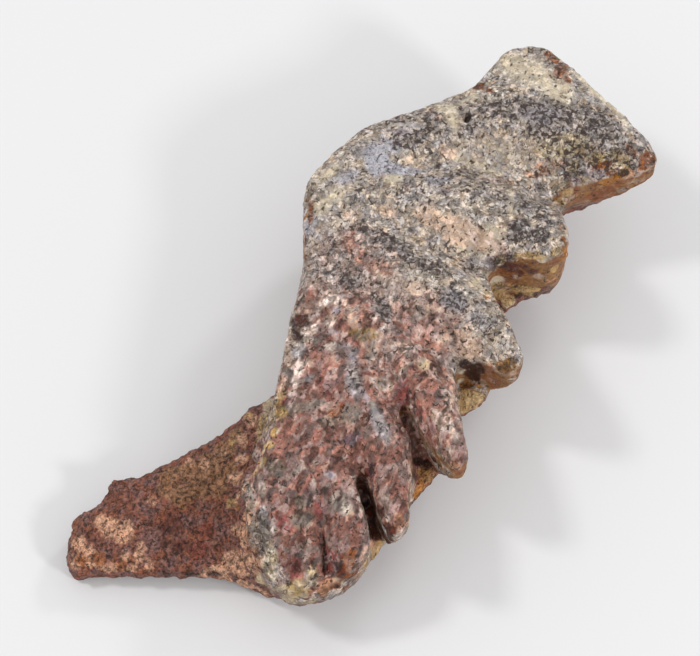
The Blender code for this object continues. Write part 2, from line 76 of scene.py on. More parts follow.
# Stains of the crown, seen from above: x, y, half length, half width, turn in degrees, strength.
STAINS = {
    "blush": [
        (0.8, 1.7, 2.9, 2.4, 70, 0.9), (-0.3, -2.7, 2.5, 1.8, 80, 0.9),
        (-2.5, 0.8, 1.9, 1.7, -60, 0.8), (-2.5, -2, 1.9, 1.6, -60, 0.8),
    ],
    "rosy": [
        (-9.3, -5.4, 2.3, 1.4, 25, 0.9), (-4.8, -5.8, 2.6, 1.2, 40, 0.85),
        (-4.4, -3.8, 2.1, 1, 45, 0.9), (-5.5, -0.3, 2.9, 2.9, 0, 0.9),
        (-9.8, -1, 3.6, 2.8, 30, 0.9), (-6.8, -3.9, 3.1, 2.8, 25, 0.9),
        (-3.2, -4.2, 2.4, 1.9, 25, 0.75), (-12.3, -3.9, 3, 2.8, 30, 0.9),
        (-2.3, 0.4, 2.6, 2.1, 60, 0.75), (-0.6, -2.6, 2, 1.7, -60, 0.65),
        (-5.5, -6.6, 2, 1.2, 40, 0.8), (-1.6, 2.9, 1.5, 1.2, 85, 0.6),
    ],
    "pale": [
        (-12.8, -2.8, 0.4, 0.3, 30, 0.5), (-4.7, 1.3, 0.3, 0.3, 0, 0.6),
        (-5.6, -6.1, 0.4, 0.3, 25, 0.5), (-7.4, -5.7, 0.7, 0.2, 35, 0.93),
        (0.1, -2.4, 0.6, 0.5, -60, 0.73), (-3.4, -3, 0.4, 0.4, 0, 0.7),
        (-2.2, 1.5, 0.5, 0.4, 35, 0.74), (-11.2, -1.6, 0.3, 0.2, 30, 1),
        (-4, -2.3, 0.6, 0.4, -60, 1), (-2.8, -1.1, 0.5, 0.4, 25, 0.88),
        (-2, -2.5, 0.4, 0.4, 0, 0.6), (-10.3, -1.9, 0.3, 0.2, 30, 0.78),
        (-1.4, 0.7, 0.7, 0.6, -60, 0.51), (-1.2, 1.5, 0.5, 0.4, -60, 0.56),
        (-4.4, 2.6, 0.9, 0.3, 30, 1), (-5.9, 1.9, 0.7, 0.4, 35, 0.58),
        (-4.8, -5.7, 0.8, 0.4, 40, 0.7), (-3.6, -5.6, 0.7, 0.3, 35, 0.71),
        (-4.5, -4.2, 0.6, 0.2, 45, 0.65), (-10.4, -3.7, 0.4, 0.4, 0, 0.68),
        (-11.4, 0.2, 0.5, 0.2, 40, 0.85), (-9.8, -1, 0.4, 0.3, -65, 0.58),
        (-4.8, -6.3, 1, 0.3, 45, 0.7), (-6, -6.7, 0.4, 0.4, 0, 0.62),
        (-6.7, 1.1, 0.7, 0.5, 50, 0.47), (-4.1, 0.2, 0.5, 0.3, 30, 0.48),
        (-2.7, -2.9, 0.5, 0.4, 90, 0.58), (-3.5, 0.8, 0.4, 0.3, -65, 0.66),
        (-9.5, -5.3, 0.7, 0.3, 40, 0.43), (-7.8, -5.2, 0.6, 0.3, 45, 0.42),
        (-5, 1.7, 0.7, 0.3, 35, 0.7),
    ],
    "cream": [
        (-13.2, -4.9, 0.4, 0.3, -60, 1), (7.7, -3.5, 1.1, 0.2, 25, 0.79),
        (15.1, -2.8, 1, 0.6, 65, 0.76), (-5.7, -2.8, 0.7, 0.2, 45, 0.59), (11, 1.5, 1, 0.3, 35, 1),
        (12.5, 1.2, 0.7, 0.3, -30, 0.77), (5.4, -3.5, 0.6, 0.5, 75, 0.85),
        (3.8, 4.8, 1.3, 0.5, -20, 0.74), (9.3, -0.1, 0.8, 0.4, -75, 0.64),
        (15.4, -0.6, 1.8, 1, 70, 0.84), (14.6, -2.5, 1.3, 0.6, 65, 0.84),
        (16.1, -4.4, 1.9, 0.3, 65, 0.99), (14.9, -6.3, 0.7, 0.3, 55, 0.65),
        (11.3, 2.2, 0.5, 0.3, -10, 0.95), (10.6, -1.5, 1.5, 0.5, -70, 0.45),
        (6.3, 2.5, 0.5, 0.3, -60, 1), (5.3, 5.6, 0.9, 0.3, -15, 0.88),
        (4.9, -2.3, 1.3, 0.5, 80, 0.67), (2.9, -4, 0.8, 0.4, 40, 0.64),
        (9.4, -1.5, 1, 0.3, -80, 0.62),
    ],
    "lilac": [
        (-2.8, 1, 0.4, 0.3, -65, 0.5), (-5.4, 0.8, 0.4, 0.4, 0, 0.61),
        (-6.2, -3.3, 1.2, 0.4, 45, 0.78), (-12.4, -0.4, 0.5, 0.2, 30, 0.76),
        (-4.8, -1.1, 1.3, 0.4, 45, 0.65), (-3.4, 0, 0.9, 0.6, -60, 0.51),
        (-4.3, 2.1, 0.4, 0.4, 0, 0.86), (-8.6, -1.9, 0.8, 0.3, 35, 0.41),
    ],
    "blue": [
        (7.1, 0.4, 0.7, 0.4, -55, 0.73), (7, 2.4, 1.3, 0.4, -70, 0.79),
        (5.5, 4.5, 0.9, 0.5, -25, 0.61), (7, 3.8, 1.1, 0.7, 40, 0.96),
        (8, 3.4, 0.6, 0.4, 80, 0.92), (9.3, 3.3, 0.9, 0.6, -25, 0.5),
        (12.9, -2.6, 1.2, 0.6, -60, 0.8), (2.2, 5.1, 0.8, 0.4, 30, 0.66),
        (1.2, -3.6, 0.9, 0.7, 90, 0.66), (-3.6, -0.5, 0.9, 0.4, 45, 0.45),
        (-5.2, -2, 0.8, 0.3, 45, 0.51), (-1.7, 1.5, 0.3, 0.3, 0, 0.56),
        (-9.4, -2.4, 0.4, 0.3, -65, 0.59),
    ],
    "peach": [
        (-2.7, -4.9, 0.4, 0.3, -60, 0.5), (-2.5, -0.5, 0.4, 0.3, 25, 0.53),
        (5.1, -0.1, 0.8, 0.5, 85, 0.77), (5, -1.4, 0.9, 0.5, 85, 0.87),
        (1.2, 0.3, 1.2, 0.5, 80, 0.61), (-0.4, -5.2, 1.1, 0.5, 80, 0.7),
        (-0.5, -3.7, 0.7, 0.5, 75, 0.66), (3.5, 3.4, 0.7, 0.4, -60, 0.66),
        (9.1, 0.8, 0.6, 0.3, -70, 0.82), (5.2, -2.3, 1.2, 0.5, 90, 0.97),
        (4.5, 1.8, 0.7, 0.4, -90, 0.6), (1, -1.5, 0.6, 0.4, -90, 0.86),
        (-1.8, 0.5, 0.6, 0.4, 65, 0.54), (0.4, -3.1, 0.4, 0.3, -60, 0.58),
    ],
    # Terracotta stains; the two along the slot near x -5, y -5 are also painted light on the
    # slot's shaded flank.
    "terracotta": [
        (1.9, 2.6, 0.5, 0.5, 0, 1), (1.4, 1.6, 0.9, 0.4, 65, 1), (-4.6, -4.7, 0.9, 0.3, 50, 1),
        (-5.4, -5.6, 0.5, 0.3, 45, 1), (2.3, 2.8, 0.5, 0.4, 65, 0.91),
        (1.4, 0.4, 0.7, 0.3, 70, 0.8), (-1.6, -0.1, 0.5, 0.3, 50, 0.61),
        (-0.4, -3, 0.7, 0.4, -85, 1), (-0.6, -2.1, 0.6, 0.3, -85, 0.77),
        (-3.1, -2.2, 1, 0.3, -55, 1), (-5.5, -0.9, 0.6, 0.4, 45, 0.58),
        (-5.5, 0.3, 0.5, 0.4, 30, 0.83), (-7.8, -2.3, 0.4, 0.2, -60, 0.79),
        (-2.5, -5.3, 0.5, 0.3, -60, 0.81), (-1, -3.9, 0.5, 0.3, -90, 0.9),
    ],
    "red": [
        (-7.2, 1.3, 0.5, 0.4, -65, 1), (-11, -2.7, 0.4, 0.4, 0, 0.95),
        (-13.7, -2.7, 0.5, 0.4, 30, 0.83), (-5.3, 0, 0.8, 0.7, -65, 0.56),
        (-4, -3.4, 0.7, 0.3, 40, 1), (-4.5, -4.5, 0.9, 0.2, 50, 0.59),
        (-5.3, -5.5, 0.9, 0.3, 45, 0.64), (-12.3, -1.5, 0.5, 0.3, -85, 1),
        (-12.6, -4.1, 0.7, 0.3, 35, 0.97), (-8.3, -4, 0.6, 0.3, 40, 0.87),
        (-10.4, -1.8, 0.3, 0.3, 0, 0.63),
    ],
    "violet": [
        (11.5, -6.2, 1.1, 0.3, -50, 0.92), (-7.3, -2.4, 0.5, 0.3, -60, 0.76),
        (5.5, 0.2, 0.5, 0.3, -75, 0.44), (6.8, -0.5, 0.7, 0.3, -75, 0.62),
        (8.9, 3.4, 0.4, 0.4, 0, 0.83), (6.3, 1.5, 0.5, 0.3, -60, 0.59),
    ],
    "dusky": [
        (-0.4, -3.5, 0.5, 0.4, -55, 0.55), (7.1, 0.8, 1.2, 0.4, -70, 0.53),
        (7.5, -3.2, 1.3, 0.3, -90, 0.63), (6.4, -5.6, 0.5, 0.5, 0, 0.87),
        (7.8, 0, 0.6, 0.4, -60, 0.66), (11.9, -6, 1.2, 0.3, -50, 1),
        (12.7, -7.7, 0.6, 0.3, -60, 0.88), (-0.7, -0.6, 0.9, 0.5, 40, 0.75),
        (7.4, -1.3, 1, 0.4, -75, 0.41), (12.5, -3.9, 2, 0.6, -70, 0.85),
        (12.8, -6, 1.1, 0.5, -90, 0.68), (10, -4.1, 0.7, 0.3, -50, 0.51),
        (8.8, 2.8, 1.1, 0.5, -50, 0.95), (0.2, 2.8, 0.5, 0.3, -60, 0.76),
        (12.4, -0.6, 1.6, 0.8, -65, 0.78), (13.3, -3, 2, 0.8, -70, 0.93),
        (13.9, -5.5, 1.5, 0.8, 85, 0.92), (13.6, -7, 0.7, 0.5, 50, 0.77),
        (10.7, 0.1, 1.2, 0.6, -50, 0.57), (12.1, -5, 0.8, 0.5, -45, 0.9),
        (9.9, 3.9, 0.9, 0.5, -30, 0.37), (10.1, 2.2, 0.8, 0.6, 25, 0.69),
        (8, -1, 1.7, 0.4, -75, 0.49), (7.8, -4.4, 1.5, 0.7, -85, 0.58),
        (7.3, -5.7, 0.6, 0.4, 60, 0.67), (6.2, -4.7, 0.7, 0.5, -90, 0.88),
        (2.9, 1.1, 1.8, 0.5, 85, 0.76), (2.4, -1.3, 1.3, 0.4, 90, 0.97),
        (1.3, 3.4, 0.6, 0.4, -10, 0.48), (0.1, 1.6, 0.9, 0.5, 65, 0.61),
        (1.2, -3.6, 1.2, 0.8, 85, 0.61), (3.7, -3.2, 0.8, 0.3, 90, 0.71),
        (0.7, -5.1, 0.7, 0.5, 65, 0.58), (-4.4, -1, 1.1, 0.4, 50, 0.62),
    ],
    "ash": [
        (-6.3, -1.8, 0.5, 0.5, 0, 0.95), (-10.3, -3.3, 0.5, 0.4, 30, 1),
        (-11.5, 0.1, 0.5, 0.3, 30, 0.46), (-6.9, -1, 0.5, 0.4, -65, 0.77),
        (-11.8, -2.1, 0.6, 0.4, -65, 0.91), (-13.3, -0.7, 0.7, 0.5, 30, 1),
        (-7, 0.6, 1.3, 0.3, -50, 0.93), (-10.3, 0.1, 0.6, 0.5, -90, 0.86),
        (-13, -0.7, 0.7, 0.4, 40, 1), (-11.9, 0.6, 0.8, 0.2, 30, 0.87),
        (-11.1, -1.7, 0.5, 0.4, -65, 0.68),
    ],
    "tan": [
        (-16.2, 5.1, 0.6, 0.3, -65, 0.47), (-14.2, -0.6, 0.4, 0.3, -40, 0.88),
        (-14.5, 1.2, 0.7, 0.3, -60, 0.91), (-16.6, 5.9, 0.9, 0.3, -60, 0.57),
        (-7.4, 3.1, 0.5, 0.4, 75, 1), (-8.5, 3, 0.4, 0.4, 0, 0.63),
        (-11.2, 1.6, 0.6, 0.3, 30, 0.8), (-13, 0.3, 1, 0.4, 20, 0.9),
        (-14, -0.4, 0.7, 0.3, -45, 1), (-13.6, -4.6, 0.8, 0.4, -45, 0.94),
        (-14.1, -1.1, 0.4, 0.3, 30, 0.94), (-9, -5, 1.1, 0.7, 40, 0.42),
        (-10, -6.3, 0.6, 0.4, 35, 0.46), (10.8, -3.7, 1.4, 0.4, -50, 0.6),
        (9, -2.3, 1, 0.4, -60, 0.57),
    ],
    "maroon": [
        (-13.4, -4.3, 0.4, 0.4, 0, 0.45), (10.1, -4.2, 0.4, 0.3, -60, 0.4),
        (-10, -3, 0.4, 0.4, 0, 0.46), (-12.1, -1.1, 0.4, 0.3, 30, 0.47),
        (-10.4, -2.5, 0.4, 0.4, 0, 0.57), (-1.2, 0.5, 0.5, 0.5, 0, 0.47),
        (-6.8, 1.2, 0.4, 0.4, 0, 0.44), (-5.7, -4.3, 0.5, 0.2, 10, 0.73),
        (-10.9, 1, 0.5, 0.3, 30, 0.52), (-11.9, -4.2, 0.4, 0.4, 0, 0.45),
        (-13, -2.7, 1.4, 1.1, 30, 0.45), (-9, -4.4, 1.3, 0.4, 40, 0.46),
        (-9.8, -2.3, 0.7, 0.5, -60, 0.38), (-11.2, -4.4, 0.9, 0.6, 30, 0.46),
        (-14.3, -3.1, 0.7, 0.4, -60, 0.63), (-12.9, -4.2, 0.6, 0.5, 30, 0.51),
        (-2.8, 2.8, 0.6, 0.5, 50, 0.9), (-3.5, 2.6, 0.4, 0.3, 30, 0.78),
        (-3, 3.1, 0.6, 0.2, 30, 0.68), (-4, 2.1, 0.3, 0.2, 30, 0.52),
        (-12.6, -4.9, 0.6, 0.5, -60, 0.77), (-13.3, -4.9, 0.6, 0.3, -60, 0.66),
    ],
    "straw": [
        (4.3, -5.3, 0.4, 0.3, -55, 0.9), (11.5, -5.2, 0.4, 0.4, 0, 0.72),
        (-2.4, -3.7, 0.6, 0.5, 25, 0.56), (-13.6, -3.6, 0.5, 0.4, 25, 0.65),
        (-14, -1.6, 0.7, 0.4, 30, 0.95), (-10.5, -3.9, 0.4, 0.4, 0, 0.57),
        (4.8, -4.4, 0.4, 0.3, 20, 0.85), (-6.2, 2.9, 0.6, 0.2, 30, 0.95),
        (-7.3, 2.2, 0.4, 0.2, 30, 0.78), (12.1, -4.4, 1.5, 0.5, -60, 0.88),
        (12.5, -6.8, 0.9, 0.4, -75, 0.75), (-14.6, -3, 0.9, 0.4, -70, 1),
    ],
    "honey": [
        (11.3, -6.2, 0.8, 0.2, -90, 0.57), (5.3, -5.9, 1, 0.3, -75, 1), (6, -6.8, 0.4, 0.3, 15, 1),
    ],
    "ochre": [
        (-11.5, 2, 0.3, 0.3, 0, 0.77), (-14.3, -3.2, 0.7, 0.3, -60, 1),
        (10.5, -5, 0.6, 0.5, -50, 0.72), (-2.2, -0.4, 0.8, 0.3, -75, 0.96),
        (12.7, -7.1, 0.8, 0.5, -90, 0.8), (12.3, -6.2, 0.8, 0.3, -70, 0.95),
        (12.3, -5.4, 0.5, 0.4, -60, 0.73), (-7.8, 2.3, 0.5, 0.3, 10, 1),
        (-8.5, 1.9, 0.4, 0.3, -65, 1), (-7, 1.7, 0.6, 0.3, 0, 0.77),
    ],
    "rust": [
        (12.2, -7.1, 0.5, 0.2, -60, 0.6), (13.6, 1.4, 0.3, 0.3, 0, 0.85),
        (-12.3, -5, 0.5, 0.4, 30, 0.97), (-6.3, -1, 0.4, 0.3, -60, 0.96),
        (17, -1.4, 0.5, 0.3, 65, 1), (16.4, -2.2, 0.6, 0.4, -5, 1), (15.9, -2.8, 0.3, 0.2, 25, 1),
        (13.6, 1.2, 0.3, 0.3, 0, 1), (13.4, 0.6, 0.3, 0.2, 75, 1),
        (13.5, -8.4, 0.6, 0.4, -10, 0.91), (13.4, -7.5, 0.4, 0.3, 55, 0.72),
        (10.9, 2.6, 0.5, 0.4, -25, 0.47), (10.5, 2, 0.4, 0.2, 45, 0.59),
        (10.6, -5.5, 1, 0.2, 35, 0.59), (12.2, -6.6, 0.6, 0.2, -50, 0.77),
        (2.9, 5.4, 1.1, 0.2, 30, 0.66), (1.2, 4.8, 1.2, 0.1, 30, 0.68),
    ],
    "chalk": [
        (-5.6, 1.6, 0.7, 0.3, 35, 0.55), (5.3, -4.1, 0.4, 0.3, 90, 0.86),
        (-0.6, -3.7, 0.4, 0.3, 85, 0.42), (5.4, -3.5, 0.4, 0.3, 70, 0.56),
        (-4, 2.9, 0.5, 0.2, 30, 1), (5.2, -2.7, 0.4, 0.2, 80, 0.81),
        (-1.1, 2.1, 0.5, 0.4, 5, 0.92), (-1.5, 2.2, 0.3, 0.3, 0, 0.88),
        (-3.2, 2.2, 0.4, 0.3, -65, 1), (-2.9, 2, 0.3, 0.2, 30, 1), (-1.3, 1.1, 0.4, 0.3, 80, 0.46),
    ],
    # Painted shade: near-black patches in pits, notches and the heel's cleft, where shade falls.
    "umber": [
        (11.2, 0.7, 0.3, 0.2, 25, 0.91), (11.9, -5.4, 0.3, 0.2, 25, 0.49),
        (4.9, -3.1, 0.3, 0.2, -60, 0.45), (4.9, -4.3, 1, 0.3, -75, 0.49),
        (10.8, -4, 0.8, 0.2, -50, 0.58), (-12.5, -3.7, 1, 0.1, 30, 1),
    ],
}
# Round spots of the walls, the hollows and the bone: x, y, z, radius, strength.
SPOTS = {
    "bone_olive": [
        (-11.5, 5.5, 2.8, 0.7, 0.8), (-10.9, 4.7, 3, 0.7, 0.8), (-10.2, 3.9, 3.2, 0.7, 0.9),
        (-9.3, 3.6, 3.5, 0.6, 0.9), (-8.4, 3.5, 3.7, 0.5, 0.8), (-11.3, 3.9, 3, 0.8, 0.9),
        (-12.2, 4.5, 2.8, 0.7, 0.8), (-11, 3.2, 3.1, 0.7, 0.9), (-10.1, 3, 3.3, 0.5, 0.8),
        (-12.3, 5.3, 2.8, 0.5, 0.7),
    ],
    "bone_violet": [
        (-14.6, 4.9, 1.8, 0.7, 0.8),
    ],
    "bone_red": [
        (-14, 2.4, 2.1, 0.6, 0.8), (-13, 2.6, 2.3, 0.7, 0.6),
    ],
    "pale": [
        (-0.8, -7.7, 6.6, 0.3, 0.7), (-0.7, -7.7, 7.1, 0.25, 0.6), (5.5, -6.2, 6, 0.25, 0.8),
        (12.8, -8.3, 6.9, 0.3, 0.7), (-10, -5.7, 6.5, 0.2, 0.9),
    ],
    "cream": [
        (4.7, -4.2, 5.3, 0.4, 0.9), (4.1, -4, 6.4, 0.25, 0.8), (5.5, -6.3, 7.6, 0.3, 0.8),
        (-1.1, -5.2, 5.9, 0.25, 0.7), (-1.2, -5.2, 5.1, 0.25, 0.7),
    ],
    # Painted light: these terracotta spots lighten the flank of the slot near x -5, y -4.5, which
    # the ridge beside it shades.
    "terracotta": [
        (-4.4, -3.9, 6.1, 0.25, 0.9), (-4.5, -4.2, 5.8, 0.25, 0.9), (-4.8, -4.6, 5.7, 0.25, 0.9),
        (-5, -4.9, 5.5, 0.25, 0.9), (-4.9, -4.8, 6.3, 0.3, 0.9), (-5.3, -5.2, 6.2, 0.35, 0.9),
        (-5.6, -5.7, 6.3, 0.3, 0.7),
    ],
    "violet": [
        (5, -4.6, 7.2, 0.4, 1), (4.7, -3.9, 6.7, 0.4, 1),
    ],
    # Tan spots: pale tan bone and crumbs; those along the crown's inner foot, x from -14.7 to -9.3
    # and y from -1.1 to 4.9, are also painted light, paler bone where the crown's overhang shades
    # it.
    "tan": [
        (12.6, -7.9, 7.1, 0.35, 0.8), (-6.4, -7.4, 6.8, 0.35, 0.8), (-12.8, 0.5, 3, 0.3, 1),
        (-12.3, 0.8, 3.3, 0.25, 0.9), (-16.8, 7, 1.6, 0.45, 0.8), (-16.4, 7.9, 1.8, 0.5, 0.7),
        (-16.7, 6.7, 1.5, 0.5, 0.7), (-15.1, 5.1, 1.7, 0.4, 0.6), (5.9, -6.7, 5.7, 0.3, 1),
        (-11.6, -5.4, 5.3, 0.4, 0.9), (-10.5, -5.2, 3.6, 0.35, 1), (-16.5, 7.3, 1.7, 0.45, 0.6),
        (-17.3, 7.5, 1.5, 0.4, 0.6), (-15, 6.8, 2.1, 0.6, 0.9), (-14.9, 7.4, 2.2, 0.4, 0.8),
        (-15.2, 6.2, 1.7, 0.4, 0.7), (-15.5, 5, 1.7, 0.4, 0.7), (-15.8, 5.6, 1.6, 0.4, 0.6),
        (-15.6, 4.3, 1.6, 0.4, 0.5), (-11.2, 1.6, 3.4, 0.5, 0.9), (-10.3, 2.4, 3.4, 0.45, 0.8),
        (-12.5, 1, 3, 0.45, 0.7), (-13.8, 0.7, 2.3, 0.55, 1), (-9.3, 3.6, 3.5, 0.45, 0.5),
        (-9.3, 2.6, 3.5, 0.4, 0.7), (-14.4, 1, 1.5, 0.45, 0.8), (-14.2, -0.2, 1.1, 0.5, 0.9),
        (-14.7, 1.7, 1.3, 0.4, 0.6), (-17.2, 7.9, 1.5, 0.35, 0.5), (-13, 5.7, 2.6, 0.4, 0.5),
        (-14.4, 0.8, 0.9, 0.45, 0.8), (-14.1, 0.2, 2.2, 0.45, 0.8), (-14.2, -0.5, 1.3, 0.5, 0.8),
        (-14.2, -1.1, 1.2, 0.5, 0.7), (-14.8, 6.2, 2, 0.55, 1), (-10.3, 4.1, 3.2, 0.4, 0.6),
        (-10.5, 4.9, 3, 0.35, 0.6),
    ],
    # Maroon spots: a dark red-brown stain on walls and bone; the rows down the slots and hollows
    # between the ridges, x from -10.4 to -8.3 and at -0.9, -4.4 and -5.8, are painted shade there.
    "maroon": [
        (-10.3, -5.8, 6.1, 0.3, 1), (-10.5, -6, 5.8, 0.3, 1), (-10.4, -6.2, 6.5, 0.25, 1),
        (5.2, -5.5, 6.7, 0.45, 0.6), (5.3, -5.9, 6.4, 0.35, 0.6), (4.9, -4.4, 6.9, 0.45, 0.8),
        (5, -4.9, 6.5, 0.45, 0.8), (-0.9, -6, 6.6, 0.4, 0.7), (-10.5, -6.1, 5.5, 0.3, 0.8),
        (-5.8, -6, 5.5, 0.3, 0.8), (-8.5, -3.6, 5.7, 0.3, 1), (-8.6, -3.8, 5, 0.35, 1),
        (-8.9, -4.2, 5.1, 0.35, 1), (-9, -4.3, 4.2, 0.4, 1), (-9.3, -4.6, 4.6, 0.4, 1),
        (-9.6, -4.9, 4.1, 0.45, 1), (-9.9, -5.3, 4.8, 0.4, 1), (-10, -5.2, 3.9, 0.4, 1),
        (-10.2, -5.7, 4.6, 0.35, 1), (-12.4, 0.4, 5.4, 0.2, 0.7), (-13.2, -0.1, 5, 0.25, 0.8),
        (-13.7, -0.7, 4.5, 0.3, 0.8), (-14.2, -1.3, 4.1, 0.25, 0.6), (-13.5, 4.3, 2, 0.65, 0.7),
        (-14.2, 3.3, 2, 0.55, 0.7), (-14.5, 4.1, 1.9, 0.45, 0.6), (5.2, -5.3, 6.1, 0.3, 0.8),
        (-8.4, -3.6, 6, 0.35, 1), (-8.7, -4.1, 5.6, 0.4, 1), (-9, -4.6, 5.3, 0.5, 1),
        (-9.3, -5.1, 5.2, 0.55, 1), (-9.7, -5.6, 5, 0.55, 1), (-9.9, -6, 4.8, 0.55, 1),
        (-8.5, -3.8, 6.2, 0.3, 1), (-9, -4.4, 5.9, 0.35, 1), (-9.8, -5.2, 6.2, 0.4, 1),
        (-10.4, -6, 6.2, 0.4, 1), (-8.3, -3.5, 6.4, 0.2, 0.9), (-4.4, -3.7, 6.2, 0.2, 1),
        (-13, 0, 5.1, 0.2, 0.6), (-10.6, 0.7, 6.4, 0.2, 0.7),
    ],
    "amber": [
        (-0.7, -7, 7.3, 0.35, 0.9), (4.9, -5, 4.8, 0.4, 0.8), (5.3, -5.7, 4.8, 0.45, 1),
        (5.6, -6.3, 5.5, 0.5, 0.9), (5.9, -6.8, 6, 0.4, 0.8), (-0.6, -7.4, 7.6, 0.4, 0.9),
        (-6.3, -5.9, 4.6, 0.45, 0.9), (-6.1, -6.5, 5.6, 0.35, 0.7),
    ],
    # Straw spots; the two at x -1.4 and -1.8, y about -6, are a real yellowish flake made paler as
    # painted light where the ridge above shades it.
    "straw": [
        (-1.4, -6.2, 4.6, 0.35, 1), (-1.8, -6, 4.6, 0.3, 1), (-14.3, -1.3, 3.3, 0.4, 0.8),
        (-14.6, -3, 3.3, 0.45, 0.9), (-14.2, -3.8, 3.2, 0.4, 0.8), (-14.6, -2.2, 3.6, 0.35, 0.6),
    ],
    "honey": [
        (-2, -6, 4.5, 0.45, 1), (-1.3, -6.1, 4.6, 0.45, 1), (4.4, -5.2, 4.5, 0.35, 1),
        (10.1, -5.2, 5.8, 0.35, 0.8), (5.4, -6, 4.6, 0.4, 1), (6, -6.8, 6.5, 0.3, 0.9),
        (-7.2, 2.4, 4.1, 0.25, 0.8), (-8.9, 2.1, 3.7, 0.3, 0.7), (-8.7, 3.5, 3.6, 0.4, 0.5),
        (-10.2, 0.9, 6.4, 0.3, 0.8), (-10.6, 1, 6.1, 0.25, 0.7), (-9.3, 1, 6.5, 0.35, 0.9),
        (-8.6, 1.1, 6.7, 0.3, 0.8), (-7.6, 1.3, 6.7, 0.35, 0.8), (-7.9, 2.3, 3.9, 0.35, 1),
        (-9.5, 1.2, 6.3, 0.3, 0.9), (10.5, -5.4, 6.4, 0.35, 0.8), (4.6, -4.5, 4.6, 0.5, 0.9),
        (2.7, -4.7, 7.3, 0.35, 0.8), (-1.7, -5.8, 4.6, 0.5, 1), (-1.8, -6.3, 4.5, 0.4, 1),
        (-10.7, -5.4, 3.4, 0.35, 0.8), (-11.6, -5.4, 4.2, 0.35, 0.8),
        (-10.2, -5.4, 3.6, 0.25, 0.8), (-7.8, 1.6, 6.4, 0.35, 0.9), (-8.5, 2.4, 3.8, 0.25, 0.8),
        (-7.2, 3.4, 3.8, 0.25, 0.8),
    ],
    "rust": [
        (11.6, -6.7, 5.5, 0.5, 0.9), (11.9, -7.1, 6, 0.45, 0.9), (-0.8, -6.5, 6.8, 0.35, 0.7),
        (-13, -5.1, 3.6, 0.3, 0.8), (7.4, -6.3, 8.2, 0.25, 0.6), (6.8, -6.8, 8.1, 0.25, 0.7),
        (8, -5.8, 8, 0.2, 0.6), (-16.5, 6.6, 1.5, 0.45, 0.7), (-17, 7.4, 1.6, 0.4, 0.7),
        (-16.3, 5.6, 1.5, 0.4, 0.6), (-12.8, -5.1, 4.5, 0.4, 0.6),
    ],
    "orange": [
        (11.8, -6.9, 6.7, 0.3, 1), (12, -7.3, 6.9, 0.3, 1), (12.3, -7.6, 7, 0.25, 1),
        (6.6, -6.9, 7.7, 0.35, 1), (6.5, -7, 7.2, 0.35, 1), (-1.1, -5.5, 4.7, 0.35, 1),
        (2.3, -4.8, 7.5, 0.25, 0.8), (2.5, -5.2, 7.3, 0.25, 0.7), (-0.9, -6.1, 4.9, 0.3, 0.9),
        (-7, -5.9, 4.5, 0.3, 1), (-7.4, -5.9, 4.4, 0.25, 1), (2.7, 5.6, 6.9, 0.2, 0.8),
        (-11.5, 1.5, 3.3, 0.3, 0.6),
    ],
    # Painted shade: dark spots in the hollows under the ridges, at the crown's foot and under the
    # blade's near edge, where shade falls.
    "umber": [
        (-1, -5.4, 6.4, 0.4, 1), (-0.9, -5.9, 6.3, 0.45, 1), (-0.9, -5.7, 5.5, 0.35, 1),
        (4.9, -5.6, 4.5, 0.25, 0.7), (5.5, -6.2, 4.4, 0.25, 0.7), (-0.9, -5.6, 5.8, 0.45, 1),
        (-5.9, -5.3, 4.6, 0.3, 1), (-5.8, -5.8, 4.7, 0.3, 0.9), (-6, -6.4, 5.4, 0.2, 0.7),
        (-12.7, -5.2, 3.9, 0.3, 0.6), (-14.5, 1.3, 1.5, 0.4, 0.7), (-15.1, 2.4, 1.4, 0.4, 0.7),
        (-15.6, 3.5, 1.4, 0.35, 0.6),
    ],
}
# Narrow dark clefts: radius, depth and the line of the floor as x, y.
CLEFTS = [(0.16, 0.45, [(-11.8, -3.1), (-12.4, -3.7), (-13, -4.1)])]
# Pits and chips: x, y, radius, depth.
PITS = [
    (11.1, 0.7, 0.2, 0.45), (14.9, -2.9, 0.45, 0.2), (15.7, -2.4, 0.4, 0.22),
    (14.4, -3.6, 0.3, 0.2), (9.3, -3.8, 0.3, 0.15), (9, -4.3, 0.25, 0.15),
    (-2.7, 3.2, 0.35, 0.2), (-3.7, 2.8, 0.3, 0.2), (12.6, 1.6, 0.3, 0.15),
]
